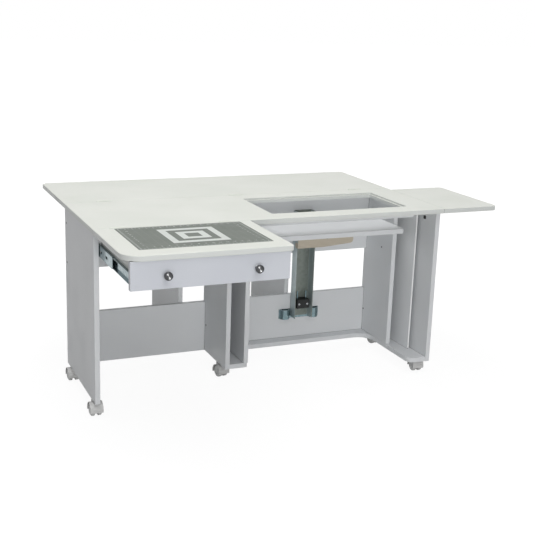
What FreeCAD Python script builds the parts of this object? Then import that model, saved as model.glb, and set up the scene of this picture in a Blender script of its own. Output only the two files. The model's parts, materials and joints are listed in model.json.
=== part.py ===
import FreeCAD, Part
import math
import os

V = FreeCAD.Vector

# Folding sewing and cutting table. Millimetres, +Z up, floor at Z = 0, front towards -Y.
# The origin lies on the floor under the middle of the opened table.

# Tops
top_height = 710.0
top_thickness = 19.0
top_edge = 1.5
top_seam = 1.0
main_depth = 468.0
rear_leaf_depth = 438.0
right_leaf_width = 254.0
right_leaf_depth = 428.0
mat_leaf_depth = 402.0
leaf_corner = 20.0
mat_leaf_left_corner = 68.0
mat_leaf_right_corner = 14.0

# Cutting mat let into the front leaf
mat_width = 470.0
mat_depth = 315.0
mat_thickness = 3.0
mat_left_margin = 72.0
mat_rear_margin = 12.0
mat_corner = 4.0
mat_clearance = 0.2

# Machine well in the main top, with a rebate for its loose insert
well_width = 592.0
well_depth = 304.0
well_left_margin = 38.0
well_right_margin = 24.0
well_front_margin = 83.0
well_corner = 8.0
well_lip = 10.0
insert_thickness = 6.5
insert_clearance = 1.0
insert_wall_gap = 14.0
insert_stand_off = 0.3

# Pair of strips that hold the stored insert's rear edge
guide_width = 3.0
guide_depth = 12.0
guide_height = 300.0
guide_clearance = 0.5

# Carcass boards
board = 19.0
board_chamfer = 0.8
side_overhang = 3.0
left_panel_front = 2.0
end_panel_inset = 3.0
right_panel_front = 21.0
drawer_bay = 555.0
leg_pocket = 60.0
mid_leg_front = 188.0
right_wall_front = 216.0
back_inset = 31.0
modesty_height = 195.0
upper_back_height = 239.0
front_rail_setback = 30.0
front_rail_height = 15.0
front_rail_end_gap = 21.0

# Base board that ties the middle leg, the back and the right leg together
base_front_setback = 2.0
base_ledge_depth = 50.0
base_inside_corner = 65.0
base_right_corner = 33.0
base_mid_corner = 12.0

# Drawer, shown pulled out under the front leaf
drawer_front_inset = 1.0
drawer_side_gap = 1.5
drawer_top_gap = 1.0
drawer_front_height = 96.0
drawer_box_drop = 76.0
drawer_box_height = 66.0
drawer_rear_gap = 17.0
drawer_side = 12.0
drawer_floor = 5.0
drawer_floor_rise = 8.0
drawer_groove = 6.0
drawer_groove_clearance = 0.2
knob_diameter = 29.0
knob_length = 25.0
knob_neck_diameter = 13.0
knob_neck_length = 8.0
knob_head_thickness = 9.0
knob_rim = 3.5
knob_dish = 2.0
knob_edge = 1.5
knob_spacing = 313.0
knob_rise = 47.0

# Ball-bearing drawer slides
slide_gap = 12.7
slide_end_gap = 4.0
slide_height = 45.0
slide_rise = 15.0
slide_sheet = 1.2
slide_running_gap = 0.6
slide_flange = 9.0
slide_front = 2.0
slide_end_corner = 13.0
slide_slot_length = 26.0
slide_slot_width = 9.0
slide_slot_count = 5

# Leaf and gate hinges
hinge_pin_radius = 1.3
hinge_pin_clearance = 0.05
hinge_knuckle_gap = 0.4
hinge_plate_clearance = 0.1
fold_hinge_length = 60.0
fold_hinge_radius = 2.6
fold_hinge_plate = 1.0
fold_hinge_width = 15.0
fold_hinge_rise = 0.4
fold_hinge_groove = 0.35
rear_hinge_margin = 160.0
rear_hinge_count = 3
mat_hinge_margin = 90.0
mat_hinge_count = 2
drop_hinge_length = 70.0
drop_hinge_radius = 3.4
drop_hinge_plate = 1.5
drop_hinge_width = 30.0
drop_hinge_gap = 0.4
drop_hinge_margin = 60.0
gate_hinge_length = 64.0
gate_hinge_radius = 4.0
gate_hinge_plate = 1.5
gate_hinge_width = 32.0
gate_hinge_gap = 0.5
gate_hinge_inset = 60.0

# Gate legs that carry the rear leaf
gate_left_axis = 461.0
gate_right_axis = 971.0
gate_depth = 373.0
gate_edge_gap = 2.0
gate_top_gap = 0.6
gate_corner = 24.0
gate_foot_inset = 24.0
gate_foot_radius = 15.0
gate_foot_pad = 10.0
gate_foot_stem = 6.0
gate_foot_floor_gap = 1.0

# Machine lift
platform_left_gap = 6.0
platform_right_gap = 31.0
platform_front = 75.0
platform_column_gap = 34.0
platform_drop = 72.0
platform_thickness = 19.0
platform_corner = 12.0
column_width = 83.0
column_depth = 50.0
column_sheet = 2.5
column_bend = 4.0
column_rise = 97.0
column_top_gap = 51.0
bracket_sheet = 3.0
bracket_reach = 52.0
bracket_height = 42.0
bracket_lug_radius = 22.0
foot_bracket_drop = 10.0
top_bracket_drop = 80.0
carriage_height = 110.0
carriage_sheet = 3.0
carriage_clearance = 0.4
carriage_reach = 10.0
bearer_front = 150.0
bearer_thickness = 25.0
bearer_left_reach = 150.0
bearer_length = 246.0
bearer_flat = 113.0
bearer_drop = 53.0
bearer_end_drop = 42.0
bearer_corner = 14.0
angle_leg = 30.0
angle_sheet = 3.0
arm_flange = 30.0
arm_sheet = 3.0
arm_spacing = 56.0
stop_block_width = 58.0
stop_block_depth = 42.0
stop_block_height = 38.0
stop_block_rise = 43.0
stop_block_corner = 4.0
stud_radius = 3.5
stud_length = 35.0
stud_spacing = 40.0

# Twin-wheel casters
caster_height = 56.0
caster_trail = 16.0
caster_stem_radius = 5.0
caster_stem_length = 17.0
caster_bore_clearance = 0.05
caster_bore_spare = 1.0
caster_boss_radius = 12.0
caster_top_gap = 1.0
wheel_radius = 25.0
wheel_width = 17.0
wheel_tread = 10.0
wheel_face_radius = 16.0
hood_wall = 2.2
hood_gap = 1.0
hood_web = 12.0
hood_skirt = 8.0
axle_radius = 3.0
axle_clearance = 0.05
caster_swing = 10.0
caster_right_swing = -5.0
caster_left_inset_front = 57.0
caster_left_inset_rear = 67.0
caster_mid_inset = 96.0
caster_right_inset_front = 71.0
caster_right_inset_rear = 30.0
caster_right_side_inset = 10.0

# Turns in degrees, and how close two heights must be to count as the same
quarter_turn = 90.0
half_turn = 180.0
full_turn = 360.0
same_height = 1e-6

# Places worked out from the sizes above
panel_bottom = caster_height
under_top = top_height - top_thickness
mid_leg_width = 2 * board + leg_pocket
bay_width = well_left_margin + well_width + well_right_margin
main_width = 2 * side_overhang + 2 * board + drawer_bay + mid_leg_width + bay_width + board + leg_pocket
table_width = main_width + top_seam + right_leaf_width
caster_half = hood_web / 2 + hood_gap + wheel_width
caster_reach = caster_half - side_overhang - board / 2
left_x = (caster_reach - table_width) / 2
main_right_x = left_x + main_width
left_panel_x = left_x + side_overhang
left_inside_x = left_panel_x + board
mid_left_x = left_inside_x + drawer_bay
mid_pocket_x = mid_left_x + board
mid_right_wall_x = mid_pocket_x + leg_pocket
mid_right_x = mid_right_wall_x + board
right_wall_x = mid_right_x + bay_width
right_pocket_x = right_wall_x + board
outer_panel_x = right_pocket_x + leg_pocket
outer_face_x = outer_panel_x + board
mat_leaf_width = mid_left_x + board / 2 - left_x
well_left_x = mid_right_x + well_left_margin
well_right_x = well_left_x + well_width
lift_x = (well_left_x + well_right_x) / 2
insert_x = outer_panel_x - insert_wall_gap

drawer_box_depth = main_depth - back_inset - drawer_front_inset - board - drawer_rear_gap
slide_length = drawer_box_depth - slide_end_gap
drawer_reach = slide_length - drawer_front_inset
front_reach = drawer_reach + knob_length
rear_reach = main_depth + top_seam + rear_leaf_depth
front_y = (front_reach - rear_reach) / 2
rear_seam_y = front_y + main_depth + top_seam / 2
mat_seam_y = front_y - top_seam / 2
end_rear_y = front_y + main_depth - end_panel_inset
back_y = front_y + main_depth - back_inset
back_rear_y = back_y + board
base_top = panel_bottom + board
modesty_top = base_top + modesty_height
upper_back_bottom = under_top - upper_back_height
fold_axis_z = top_height + fold_hinge_rise
drop_axis_x = outer_face_x + drop_hinge_radius + drop_hinge_gap
drop_axis_z = under_top - drop_hinge_radius - drop_hinge_gap
right_leaf_x = main_right_x + top_seam
gate_axis_y = back_rear_y + gate_hinge_radius + gate_hinge_gap
gate_edge_y = back_rear_y + gate_edge_gap
drawer_face_y = front_y - drawer_reach
drawer_box_front_y = drawer_face_y + board
drawer_left_x = left_inside_x + slide_gap
drawer_right_x = mid_left_x - slide_gap
drawer_front_top = under_top - drawer_top_gap
drawer_front_bottom = drawer_front_top - drawer_front_height
drawer_box_bottom = under_top - drawer_box_drop
slide_middle_z = drawer_box_bottom + slide_rise
column_back_y = back_y - bracket_sheet
column_front_y = column_back_y - column_depth
platform_rear_y = column_front_y - platform_column_gap
column_bottom = base_top + column_rise
column_top = under_top - column_top_gap
platform_top = under_top - platform_drop
platform_bottom = platform_top - platform_thickness
carriage_bottom = platform_bottom - carriage_height
carriage_front_y = column_front_y - carriage_reach
bearer_front_y = front_y + bearer_front
bearer_rear_y = bearer_front_y + bearer_thickness


def save(name, *solids):
    """Writes the solids of one named piece to its own file."""
    shape = solids[0] if len(solids) == 1 else Part.makeCompound(list(solids))
    shape.exportStep("parts/" + name + ".step")


def box(x0, y0, z0, x1, y1, z1):
    return Part.makeBox(x1 - x0, y1 - y0, z1 - z0, V(x0, y0, z0))


def panel(x0, y0, z0, x1, y1, z1):
    """A melamine board with its sharp edges taken off."""
    solid = box(x0, y0, z0, x1, y1, z1)
    return solid.makeChamfer(board_chamfer, solid.Edges)


def cylinder(radius, start, end):
    axis = end - start
    return Part.makeCylinder(radius, axis.Length, start, axis)


def outline(corners, z):
    """A closed wire at height z through (x, y, radius) corners, each rounded by its own arc."""
    count = len(corners)
    starts, ends, middles = [], [], []
    for i, (x, y, radius) in enumerate(corners):
        point = V(x, y, z)
        before = V(*corners[i - 1][:2], z) - point
        after = V(*corners[(i + 1) % count][:2], z) - point
        before.normalize()
        after.normalize()
        half = before.getAngle(after) / 2
        run = radius / math.tan(half)
        bisector = before + after
        bisector.normalize()
        starts.append(point + before * run)
        ends.append(point + after * run)
        middles.append(point + bisector * (radius / math.sin(half) - radius))
    edges = []
    for i in range(count):
        if corners[i][2] > 0:
            edges.append(Part.Arc(starts[i], middles[i], ends[i]).toShape())
        edges.append(Part.LineSegment(ends[i], starts[(i + 1) % count]).toShape())
    return Part.Wire(edges)


def slab(corners, z0, z1):
    """A flat plate with the given outline, from z0 to z1."""
    return Part.Face(outline(corners, z0)).extrude(V(0, 0, z1 - z0))


def rim_edges(solid, *levels):
    """The edges that lie flat at any of the given heights."""
    return [edge for edge in solid.Edges for z in levels
            if abs(edge.BoundBox.ZMin - z) + abs(edge.BoundBox.ZMax - z) < same_height]


def eased_slab(corners, z0, z1, edge):
    """A plate whose upper and lower edges are taken off."""
    solid = slab(corners, z0, z1)
    return solid.makeChamfer(edge, rim_edges(solid, z0, z1))


def rectangle(x0, y0, x1, y1, radius):
    return [(x0, y0, radius), (x1, y0, radius), (x1, y1, radius), (x0, y1, radius)]


def hinge_flap(direction, side, offset, radius, sheet, width, length, knuckle, other):
    """One flap of a butt hinge about the Z axis: a knuckle over one span, and room for the other flap's."""
    edge = (offset - sheet) if side > 0 else -offset
    flap = Part.makeBox(width, sheet, length, V(0, edge, 0))
    flap = flap.cut(box(0, edge, other[0] - hinge_knuckle_gap, radius + hinge_knuckle_gap, edge + sheet,
                        other[1] + hinge_knuckle_gap))
    flap = flap.fuse(cylinder(radius, V(0, 0, knuckle[0]), V(0, 0, knuckle[1]))).removeSplitter()
    flap.rotate(V(), V(0, 0, 1), direction)
    return flap


def knuckle_spans(length):
    """The lower knuckle of a hinge and the upper one, with a gap between them."""
    return (0, (length - hinge_knuckle_gap) / 2), ((length + hinge_knuckle_gap) / 2, length)


def pinned_flap(*sizes):
    """The flap with the lower knuckle, with the pin fast in it."""
    low, high = knuckle_spans(sizes[-1])
    pin = cylinder(hinge_pin_radius, V(0, 0, low[1]), V(0, 0, high[1]))
    return hinge_flap(*sizes, low, high).fuse(pin)


def bored_flap(*sizes):
    """The flap with the upper knuckle, bored to turn on the pin."""
    low, high = knuckle_spans(sizes[-1])
    bore = cylinder(hinge_pin_radius + hinge_pin_clearance, V(0, 0, high[0]), V(0, 0, high[1]))
    return hinge_flap(*sizes, high, low).cut(bore)


def placed(shape, turn, place):
    copy = shape.copy()
    copy.Placement = FreeCAD.Placement(place, turn)
    return copy


def swung(shape, turn):
    """A copy of the shape, turned about an upright axis."""
    copy = shape.copy()
    copy.Placement = turn.multiply(copy.Placement)
    return copy


# Turns that lay a hinge built about Z along another axis
ALONG_X = FreeCAD.Rotation(V(0, 1, 0), V(0, 0, 1), V(1, 0, 0))
ALONG_Y = FreeCAD.Rotation(V(1, 0, 0), V(0, 0, 1), V(0, -1, 0))
UPRIGHT = FreeCAD.Rotation()


def spaced(first, last, count):
    return [first + (last - first) * i / (count - 1) for i in range(count)]


def fold_hinge_starts(x0, x1, margin, count):
    """Where each fold-over hinge begins along a seam from x0 to x1."""
    return [x - fold_hinge_length / 2 for x in spaced(x0 + margin, x1 - margin, count)]


rear_hinge_xs = fold_hinge_starts(left_x, main_right_x, rear_hinge_margin, rear_hinge_count)
mat_hinge_xs = fold_hinge_starts(left_x, left_x + mat_leaf_width, mat_hinge_margin, mat_hinge_count)
drop_hinge_ys = [front_y + drop_hinge_margin + drop_hinge_length,
                 front_y + right_leaf_depth - drop_hinge_margin]
gate_hinge_zs = [panel_bottom + gate_hinge_inset, under_top - gate_hinge_inset - gate_hinge_length]


def fold_hinge_recess(x, seam_y):
    """The room that a fold-over hinge takes out of the two edges it joins."""
    reach = top_seam / 2 + fold_hinge_plate + hinge_plate_clearance
    low = fold_axis_z - fold_hinge_width - hinge_plate_clearance
    slot = box(x - hinge_plate_clearance, seam_y - reach, low,
               x + fold_hinge_length + hinge_plate_clearance, seam_y + reach, top_height + top_edge)
    half = fold_hinge_radius + fold_hinge_groove
    groove = box(x - hinge_plate_clearance, seam_y - half, fold_axis_z - half,
                 x + fold_hinge_length + hinge_plate_clearance, seam_y + half, top_height + top_edge)
    return slot.fuse(groove)


def cut_fold_hinges(solid, xs, seam_y):
    for x in xs:
        solid = solid.cut(fold_hinge_recess(x, seam_y))
    return solid


def make_tops():
    """The main top with its well, and the rear, right and front leaves."""
    blank = rectangle(left_x, front_y, main_right_x, front_y + main_depth, 0)
    main = eased_slab(blank, under_top, top_height, top_edge)
    well_y0 = front_y + well_front_margin
    well_y1 = well_y0 + well_depth
    rebate = rectangle(well_left_x, well_y0, well_right_x, well_y1, well_corner)
    through = rectangle(well_left_x + well_lip, well_y0 + well_lip, well_right_x - well_lip,
                        well_y1 - well_lip, well_corner)
    main = main.cut(slab(through, under_top, top_height))
    main = main.cut(slab(rebate, top_height - insert_thickness, top_height))
    main = cut_fold_hinges(main, rear_hinge_xs, rear_seam_y)
    save("main_top", cut_fold_hinges(main, mat_hinge_xs, mat_seam_y))

    rear_y0 = front_y + main_depth + top_seam
    rear_y1 = rear_y0 + rear_leaf_depth
    rear = eased_slab([(left_x, rear_y0, 0), (main_right_x, rear_y0, 0), (main_right_x, rear_y1, leaf_corner),
                       (left_x, rear_y1, leaf_corner)], under_top, top_height, top_edge)
    save("rear_leaf", cut_fold_hinges(rear, rear_hinge_xs, rear_seam_y))

    right_x1 = right_leaf_x + right_leaf_width
    right_y1 = front_y + right_leaf_depth
    save("right_leaf", eased_slab([(right_leaf_x, front_y, 0), (right_x1, front_y, leaf_corner),
                                   (right_x1, right_y1, leaf_corner), (right_leaf_x, right_y1, 0)],
                                  under_top, top_height, top_edge))

    mat_y1 = front_y - top_seam
    mat_y0 = mat_y1 - mat_leaf_depth
    mat_x1 = left_x + mat_leaf_width
    leaf = eased_slab([(left_x, mat_y0, mat_leaf_left_corner), (mat_x1, mat_y0, mat_leaf_right_corner),
                       (mat_x1, mat_y1, 0), (left_x, mat_y1, 0)], under_top, top_height, top_edge)
    mat_left = left_x + mat_left_margin
    mat_rear = mat_y1 - mat_rear_margin
    pocket = rectangle(mat_left - mat_clearance, mat_rear - mat_depth - mat_clearance,
                       mat_left + mat_width + mat_clearance, mat_rear + mat_clearance, mat_corner)
    leaf = leaf.cut(slab(pocket, top_height - mat_thickness, top_height))
    save("mat_leaf", cut_fold_hinges(leaf, mat_hinge_xs, mat_seam_y))
    mat = rectangle(mat_left, mat_rear - mat_depth, mat_left + mat_width, mat_rear, mat_corner)
    save("cutting_mat", slab(mat, top_height - mat_thickness, top_height))


def make_well_insert():
    """The loose insert of the well, stored on edge in the right leg's pocket between two guide strips."""
    y1 = back_y - insert_stand_off
    z0 = base_top + insert_stand_off
    height = well_width - 2 * insert_clearance
    depth = well_depth - 2 * insert_clearance
    face_x = insert_x - insert_thickness
    flat = slab(rectangle(y1 - depth, z0, y1, z0 + height, well_corner), face_x, insert_x)
    save("well_insert", placed(flat, ALONG_X, V()))
    guide_top = base_top + guide_height
    strips = []
    for x0 in (face_x - guide_clearance - guide_width, insert_x + guide_clearance):
        strips.append(box(x0, back_y - guide_depth, base_top, x0 + guide_width, back_y, guide_top))
    save("insert_guide", *strips)


def stem_bore(name):
    """The blind hole that a caster's stem turns in."""
    x, y, heading = casters[name]
    return cylinder(caster_stem_radius + caster_bore_clearance, V(x, y, panel_bottom),
                    V(x, y, panel_bottom + caster_stem_length + caster_bore_spare))


# Caster places: name, then the stem's x and y and the heading that the caster has swung to
left_caster_x = left_panel_x + board / 2
right_caster_x = outer_panel_x - caster_right_side_inset
right_caster_y = front_y + right_panel_front + caster_right_inset_front
casters = {
    "left_front": (left_caster_x, front_y + caster_left_inset_front, 0),
    "left_rear": (left_caster_x, end_rear_y - caster_left_inset_rear, half_turn),
    "mid_front": (mid_left_x + board / 2, front_y + mid_leg_front + caster_mid_inset, caster_swing),
    "right_front": (right_caster_x, right_caster_y, caster_right_swing),
    "right_rear": (right_caster_x, back_rear_y - caster_right_inset_rear, half_turn + caster_swing),
}


def make_carcass():
    """The fixed boards that stand between the tops and the floor."""
    left = panel(left_panel_x, front_y + left_panel_front, panel_bottom, left_inside_x, end_rear_y, under_top)
    for name in ("left_front", "left_rear"):
        left = left.cut(stem_bore(name))
    save("left_end_panel", left)
    mid_y = front_y + mid_leg_front
    mid_left = panel(mid_left_x, mid_y, panel_bottom, mid_pocket_x, back_rear_y, under_top)
    save("mid_leg_left_wall", mid_left.cut(stem_bore("mid_front")))
    save("mid_leg_right_wall", panel(mid_right_wall_x, mid_y, base_top, mid_right_x, back_rear_y, under_top))
    save("mid_leg_back", panel(mid_pocket_x, back_y, base_top, mid_right_wall_x, back_rear_y, under_top))
    save("right_leg_inner_wall", panel(right_wall_x, front_y + right_wall_front, base_top, right_pocket_x,
                                       back_rear_y, under_top))
    save("right_leg_outer_wall", panel(outer_panel_x, front_y + right_panel_front, panel_bottom, outer_face_x,
                                       end_rear_y, under_top))
    save("right_leg_back", panel(right_pocket_x, back_y, base_top, outer_panel_x, back_rear_y, under_top))
    save("left_modesty_panel", panel(left_inside_x, back_y, panel_bottom, mid_left_x, back_rear_y,
                                     modesty_top))
    save("right_modesty_panel", panel(mid_right_x, back_y, base_top, right_wall_x, back_rear_y, modesty_top))
    save("upper_back_left", panel(left_inside_x, back_y, upper_back_bottom, mid_left_x, back_rear_y,
                                  under_top))
    save("upper_back_right", panel(mid_right_x, back_y, upper_back_bottom, right_wall_x, back_rear_y,
                                   under_top))
    save("drawer_divider", panel(mid_left_x, front_y + left_panel_front, drawer_front_bottom, mid_pocket_x,
                                 mid_y, under_top))
    rail_y = front_y + front_rail_setback
    save("front_rail", panel(mid_pocket_x, rail_y, under_top - front_rail_height,
                             right_wall_x - front_rail_end_gap, rail_y + board, under_top))


def make_base_board():
    """One board cut to a U: under the middle leg, along the back and under the right leg."""
    mid_y = front_y + mid_leg_front + base_front_setback
    ledge_y = back_y - base_ledge_depth
    right_y = front_y + right_panel_front + base_front_setback
    corners = [(mid_pocket_x, mid_y, 0), (mid_right_x, mid_y, base_mid_corner),
               (mid_right_x, ledge_y, base_inside_corner), (right_wall_x, ledge_y, base_inside_corner),
               (right_wall_x, right_y, base_right_corner), (outer_panel_x, right_y, 0),
               (outer_panel_x, back_rear_y, 0), (mid_pocket_x, back_rear_y, 0)]
    solid = eased_slab(corners, panel_bottom, base_top, board_chamfer)
    for name in ("right_front", "right_rear"):
        solid = solid.cut(stem_bore(name))
    save("base_board", solid)


def turned(points):
    """A solid of revolution about Z from (radius, height) points that start and end on the axis."""
    wire = Part.makePolygon([V(r, 0, z) for r, z in points + points[:1]])
    return Part.Face(wire).revolve(V(), V(0, 0, 1), full_turn)


def make_knob(x):
    """A turned knob: a narrow neck that swells to a dished head."""
    head = knob_diameter / 2
    neck = knob_neck_diameter / 2
    dish = head - knob_rim
    solid = turned([(0, 0), (neck, 0), (neck, knob_neck_length), (head, knob_length - knob_head_thickness),
                    (head, knob_length - knob_edge), (head - knob_edge, knob_length), (dish, knob_length),
                    (dish - knob_dish, knob_length - knob_dish), (0, knob_length - knob_dish)])
    place = V(x, drawer_face_y, drawer_front_bottom + knob_rise)
    return placed(solid, FreeCAD.Rotation(V(0, 0, 1), V(0, -1, 0)), place)


def make_drawer():
    """The drawer box: an applied front, two grooved sides, a back and a thin floor."""
    front_x0 = left_inside_x + drawer_side_gap
    front_x1 = mid_left_x - drawer_side_gap
    box_rear_y = drawer_box_front_y + drawer_box_depth
    box_top = drawer_box_bottom + drawer_box_height
    floor_z = drawer_box_bottom + drawer_floor_rise
    groove = box(drawer_left_x + drawer_side - drawer_groove - drawer_groove_clearance,
                 drawer_box_front_y - drawer_groove - drawer_groove_clearance,
                 floor_z - drawer_groove_clearance,
                 drawer_right_x - drawer_side + drawer_groove + drawer_groove_clearance,
                 box_rear_y, floor_z + drawer_floor + drawer_groove_clearance)
    front = panel(front_x0, drawer_face_y, drawer_front_bottom, front_x1, drawer_box_front_y,
                  drawer_front_top)
    save("drawer_front", front.cut(groove))
    for name, x in (("drawer_left_side", drawer_left_x), ("drawer_right_side", drawer_right_x - drawer_side)):
        side = box(x, drawer_box_front_y, drawer_box_bottom, x + drawer_side, box_rear_y, box_top)
        save(name, side.cut(groove))
    inner_x0 = drawer_left_x + drawer_side
    inner_x1 = drawer_right_x - drawer_side
    back_z = floor_z + drawer_floor + drawer_groove_clearance
    save("drawer_back", box(inner_x0, box_rear_y - drawer_side, back_z, inner_x1, box_rear_y, box_top))
    save("drawer_floor", box(inner_x0 - drawer_groove, drawer_box_front_y - drawer_groove, floor_z,
                             inner_x1 + drawer_groove, box_rear_y, floor_z + drawer_floor))
    middle = (front_x0 + front_x1) / 2
    save("drawer_knobs", *[make_knob(middle + side * knob_spacing / 2) for side in (-1, 1)])


def channel(web_x, open_x, height, y0, length):
    """A sheet channel along Y whose web stands at web_x and whose flanges reach to open_x."""
    inward = math.copysign(slide_sheet, open_x - web_x)
    low = slide_middle_z - height / 2
    outer = box(min(web_x, open_x), y0, low, max(web_x, open_x), y0 + length, low + height)
    inner_x = sorted((web_x + inward, open_x + inward))
    hollow = box(inner_x[0], y0, low + slide_sheet, inner_x[1], y0 + length, low + height - slide_sheet)
    return outer.cut(hollow)


def slotted(member, x, y0):
    """Cuts the row of long holes and the rounded front end of a middle member."""
    reach = slide_gap
    low = slide_middle_z - slide_height / 2
    for y in spaced(y0 + slide_length / (slide_slot_count + 1), y0 + slide_length - slide_slot_length,
                    slide_slot_count):
        member = member.cut(box(x - reach, y, slide_middle_z - slide_slot_width / 2, x + reach,
                                y + slide_slot_length, slide_middle_z + slide_slot_width / 2))
    blank = slab([(y0, low, slide_end_corner), (y0 + slide_length, low, 0),
                  (y0 + slide_length, low + slide_height, 0), (y0, low + slide_height, slide_end_corner)],
                 x - reach, x + reach)
    return member.common(placed(blank, ALONG_X, V()))


def make_slides():
    """The cabinet, middle and drawer members of both drawer slides, open by their full length."""
    cabinet, middle, drawer = [], [], []
    nest = slide_sheet + slide_running_gap
    middle_height = slide_height - 2 * nest
    drawer_height = middle_height - 2 * nest
    cabinet_y = front_y + drawer_front_inset + board + slide_front
    middle_y = cabinet_y - slide_length / 2
    for wall, drawer_x in ((left_inside_x, drawer_left_x), (mid_left_x, drawer_right_x)):
        inward = math.copysign(1.0, drawer_x - wall)
        cabinet.append(channel(wall, wall + inward * slide_flange, slide_height, cabinet_y, slide_length))
        web = wall + inward * nest
        member = channel(web, wall + inward * slide_flange, middle_height, middle_y, slide_length)
        middle.append(slotted(member, web, middle_y))
        drawer.append(channel(drawer_x, web + inward * nest, drawer_height, drawer_box_front_y, slide_length))
    save("slide_cabinet_members", *cabinet)
    save("slide_middle_members", *middle)
    save("slide_drawer_members", *drawer)


def make_hinges():
    """Fold-over hinges in the seams, drop hinges of the right leaf, and gate hinges."""
    fold_fixed, rear_moving, mat_moving, drop_moving = [], [], [], []
    fold_offset = top_seam / 2 + fold_hinge_plate
    fold_sizes = (fold_offset, fold_hinge_radius, fold_hinge_plate, fold_hinge_width, fold_hinge_length)
    for xs, seam_y, fixed_side, moving in ((rear_hinge_xs, rear_seam_y, -1, rear_moving),
                                           (mat_hinge_xs, mat_seam_y, 1, mat_moving)):
        for x in xs:
            place = V(x, seam_y, fold_axis_z)
            fold_fixed.append(placed(pinned_flap(-quarter_turn, fixed_side, *fold_sizes), ALONG_X, place))
            moving.append(placed(bored_flap(-quarter_turn, -fixed_side, *fold_sizes), ALONG_X, place))
    carcass_fixed = []
    drop_sizes = (drop_hinge_radius + drop_hinge_gap, drop_hinge_radius, drop_hinge_plate, drop_hinge_width,
                  drop_hinge_length)
    for y in drop_hinge_ys:
        place = V(drop_axis_x, y, drop_axis_z)
        carcass_fixed.append(placed(pinned_flap(-quarter_turn, -1, *drop_sizes), ALONG_Y, place))
        drop_moving.append(placed(bored_flap(0, 1, *drop_sizes), ALONG_Y, place))
    gate_sizes = (gate_hinge_radius + gate_hinge_gap, gate_hinge_radius, gate_hinge_plate, gate_hinge_width,
                  gate_hinge_length)
    for name, axis_x, outward, side in (("gate_left_hinge_flaps", gate_left_axis, half_turn, 1),
                                        ("gate_right_hinge_flaps", gate_right_axis, 0, -1)):
        moving = []
        for z in gate_hinge_zs:
            place = V(left_x + axis_x, gate_axis_y, z)
            carcass_fixed.append(placed(pinned_flap(outward, side, *gate_sizes), UPRIGHT, place))
            moving.append(placed(bored_flap(quarter_turn, -side, *gate_sizes), UPRIGHT, place))
        save(name, *moving)
    save("fold_hinge_fixed_flaps", *fold_fixed)
    save("rear_leaf_hinge_flaps", *rear_moving)
    save("mat_leaf_hinge_flaps", *mat_moving)
    save("right_leaf_hinge_flaps", *drop_moving)
    save("carcass_hinge_flaps", *carcass_fixed)


def make_gate(name, axis_x, away):
    """A swing-out gate leg with its levelling foot. away is the side of the axis that it stands on."""
    near_x = left_x + axis_x + away * (gate_hinge_radius + gate_hinge_gap)
    x0 = min(near_x, near_x + away * board)
    rear_y = gate_edge_y + gate_depth
    top_z = under_top - gate_top_gap
    leaf = slab([(gate_edge_y, panel_bottom, 0), (rear_y, panel_bottom, gate_corner),
                 (rear_y, top_z, gate_corner), (gate_edge_y, top_z, 0)], x0, x0 + board)
    leaf = placed(leaf, ALONG_X, V())
    rims = [edge for edge in leaf.Edges if edge.BoundBox.XLength < same_height]
    save(name + "_panel", leaf.makeChamfer(board_chamfer, rims))
    foot = turned([(0, 0), (gate_foot_radius, 0), (gate_foot_radius, gate_foot_pad / 2),
                   (gate_foot_stem, gate_foot_pad), (gate_foot_stem, panel_bottom - gate_foot_floor_gap),
                   (0, panel_bottom - gate_foot_floor_gap)])
    foot_place = V(x0 + board / 2, rear_y - gate_corner - gate_foot_inset, gate_foot_floor_gap)
    save(name + "_foot", placed(foot, UPRIGHT, foot_place))


def make_lift_column():
    """The fixed steel column, its brackets and the stop block that the carriage comes down on."""
    x0 = lift_x - column_width / 2
    x1 = lift_x + column_width / 2
    web_y = column_back_y - column_sheet
    section = [(x0, column_front_y, 0), (x0 + column_sheet, column_front_y, 0),
               (x0 + column_sheet, web_y, column_bend - column_sheet),
               (x1 - column_sheet, web_y, column_bend - column_sheet), (x1 - column_sheet, column_front_y, 0),
               (x1, column_front_y, 0), (x1, column_back_y, column_bend), (x0, column_back_y, column_bend)]
    save("lift_column", slab(section, column_bottom, column_top))

    foot_z = column_bottom - foot_bracket_drop
    strap_x0 = x0 - bracket_reach
    strap_x1 = x1 + bracket_reach
    brackets = []
    for z in (foot_z, column_top - top_bracket_drop):
        strap = box(strap_x0, column_back_y, z, strap_x1, back_y, z + bracket_height)
        for lug_x in (x0 - bracket_reach / 2, x1 + bracket_reach / 2):
            top = V(lug_x, column_back_y, z + bracket_height)
            lug = cylinder(bracket_lug_radius, V(lug_x, column_back_y, z), top)
            hollow = cylinder(bracket_lug_radius - bracket_sheet, V(lug_x, column_back_y, z), top)
            room = box(strap_x0, column_back_y, z, strap_x1, back_y, z + bracket_height)
            strap = strap.fuse(lug.cut(hollow).cut(room))
        clear = box(strap_x0, back_y, z, strap_x1, back_y + bracket_lug_radius, z + bracket_height)
        brackets.append(strap.cut(clear).removeSplitter())
    save("lift_brackets", *brackets)

    block_x0 = lift_x - stop_block_width / 2
    block_z = column_bottom + stop_block_rise
    stud_z = block_z + stop_block_height
    block = box(block_x0, web_y - stop_block_depth, block_z, block_x0 + stop_block_width, web_y, stud_z)
    upright = [edge for edge in block.Edges
               if edge.BoundBox.ZLength > stop_block_height / 2 and edge.BoundBox.YMax < web_y]
    save("lift_stop_block", block.makeFillet(stop_block_corner, upright))
    stud_y = web_y - stop_block_depth / 2
    save("lift_stop_studs", *[cylinder(stud_radius, V(lift_x + side * stud_spacing / 2, stud_y, stud_z),
                                       V(lift_x + side * stud_spacing / 2, stud_y, stud_z + stud_length))
                              for side in (-1, 1)])


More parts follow.
